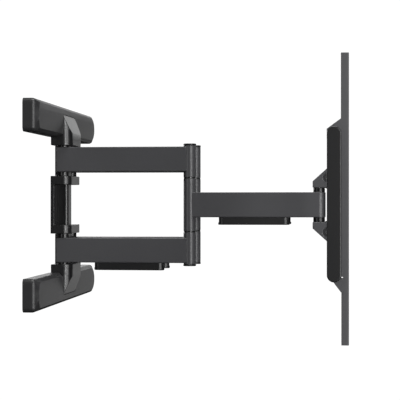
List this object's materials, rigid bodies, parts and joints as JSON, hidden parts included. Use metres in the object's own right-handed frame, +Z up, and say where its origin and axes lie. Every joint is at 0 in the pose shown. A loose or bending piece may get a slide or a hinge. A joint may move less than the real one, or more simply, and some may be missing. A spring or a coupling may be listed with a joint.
{
  "type": "full motion television wall mount",
  "caption": "Full motion television wall mount: twin folding arms between crowned wall rails and a tilting plate with two sliding upright brackets.",
  "frame": {"origin": "on the wall plane, at the centre of the four wall bolts", "axes": "+X out of the wall into the room, +Y along the wall to the right as seen from the room side camera, +Z up"},
  "size_m": [0.4812, 0.472, 0.428],
  "materials": {
    "rail_steel": "fine black powder coat",
    "cover_plastic": "moulded charcoal plastic, fine grain",
    "black_plastic": "smooth black plastic",
    "frame_steel": "charcoal powder coat",
    "zinc_steel": "zinc plated",
    "pin_steel": "ground steel",
    "arm_steel": "charcoal powder coat",
    "trough_plastic": "moulded black plastic",
    "yoke_steel": "charcoal powder coat",
    "bolt_steel": "black oxide",
    "plate_steel": "black powder coat",
    "cap_plastic": "moulded black plastic, satin",
    "bracket_steel": "charcoal powder coat"
  },
  "bodies": {
    "wall_bracket": {"wall_rail_upper": "rail_steel", "wall_rail_lower": "rail_steel", "rail_cover_upper": "cover_plastic", "rail_cover_lower": "cover_plastic", "cover_clips": "black_plastic", "centre_column": "frame_steel", "arm_bracket_upper": "frame_steel", "arm_bracket_middle": "frame_steel", "arm_bracket_lower": "frame_steel", "bracket_screws": "zinc_steel", "shoulder_pins_left": "pin_steel", "shoulder_pins_right": "pin_steel"},
    "rear_arm_left": {"rear_tube_upper_left": "arm_steel", "rear_tube_lower_left": "arm_steel", "shoulder_bushes_left": "black_plastic", "tube_plugs_left": "black_plastic", "elbow_sleeves_left": "arm_steel", "elbow_shaft_left": "pin_steel", "elbow_caps_left": "black_plastic", "cable_trough_rear_left": "trough_plastic"},
    "rear_arm_right": {"rear_tube_upper_right": "arm_steel", "rear_tube_lower_right": "arm_steel", "shoulder_bushes_right": "black_plastic", "tube_plugs_right": "black_plastic", "elbow_sleeves_right": "arm_steel", "elbow_shaft_right": "pin_steel", "elbow_caps_right": "black_plastic", "cable_trough_rear_right": "trough_plastic"},
    "front_arm_left": {"front_tube_left": "arm_steel", "front_sleeve_left": "arm_steel", "elbow_bushes_left": "black_plastic", "head_bushes_left": "black_plastic", "cable_trough_front_left": "trough_plastic"},
    "front_arm_right": {"front_tube_right": "arm_steel", "front_sleeve_right": "arm_steel", "elbow_bushes_right": "black_plastic", "head_bushes_right": "black_plastic", "cable_trough_front_right": "trough_plastic"},
    "head_yoke": {"yoke_wing_upper": "yoke_steel", "yoke_wing_lower": "yoke_steel", "yoke_web": "yoke_steel", "head_pins": "pin_steel", "tilt_bolts": "bolt_steel", "tilt_washers": "yoke_steel", "tilt_nuts": "zinc_steel"},
    "tv_plate": {"tilt_flange_left": "plate_steel", "tilt_flange_right": "plate_steel", "tv_plate": "plate_steel", "tv_rail_upper": "plate_steel", "tv_rail_lower": "plate_steel", "end_cap_left": "cap_plastic", "end_cap_right": "cap_plastic", "flange_screws": "zinc_steel"},
    "tv_bracket_left": {"tv_bracket_left": "bracket_steel", "safety_screw_left": "zinc_steel"},
    "tv_bracket_right": {"tv_bracket_right": "bracket_steel", "safety_screw_right": "zinc_steel"}
  },
  "joints": [
    {"name": "shoulder_left", "type": "hinge", "parent": "wall_bracket", "child": "rear_arm_left", "pos_m": [0.021, -0.032, 0], "axis": [0, 0, 1], "range_deg": [-82, 0]},
    {"name": "shoulder_right", "type": "hinge", "parent": "wall_bracket", "child": "rear_arm_right", "pos_m": [0.021, 0.032, 0], "axis": [0, 0, 1], "range_deg": [0, 82]},
    {"name": "elbow_left", "type": "hinge", "parent": "rear_arm_left", "child": "front_arm_left", "pos_m": [0.22765, -0.03651, 0], "axis": [0, 0, 1], "range_deg": [0, 164]},
    {"name": "elbow_right", "type": "hinge", "parent": "rear_arm_right", "child": "front_arm_right", "pos_m": [0.22765, 0.03651, 0], "axis": [0, 0, 1], "range_deg": [-164, 0]},
    {"name": "yoke_pivot", "type": "hinge", "parent": "front_arm_left", "child": "head_yoke", "pos_m": [0.4343, -0.032, 0], "axis": [0, 0, 1], "range_deg": [-82, 0]},
    {"name": "tilt", "type": "hinge", "parent": "head_yoke", "child": "tv_plate", "pos_m": [0.504, 0, 0], "axis": [0, 1, 0], "range_deg": [-8, 8]},
    {"name": "bracket_left_slide", "type": "slide", "parent": "tv_plate", "child": "tv_bracket_left", "axis": [0, 1, 0], "range_m": [-0.004, 0.1]},
    {"name": "bracket_right_slide", "type": "slide", "parent": "tv_plate", "child": "tv_bracket_right", "axis": [0, -1, 0], "range_m": [-0.004, 0.1]}
  ],
  "couplings": [
    {"joint": "shoulder_right", "follows": "shoulder_left", "ratio": -1},
    {"joint": "elbow_left", "follows": "shoulder_left", "ratio": -2},
    {"joint": "elbow_right", "follows": "shoulder_left", "ratio": 2},
    {"joint": "yoke_pivot", "follows": "shoulder_left", "ratio": 1}
  ]
}
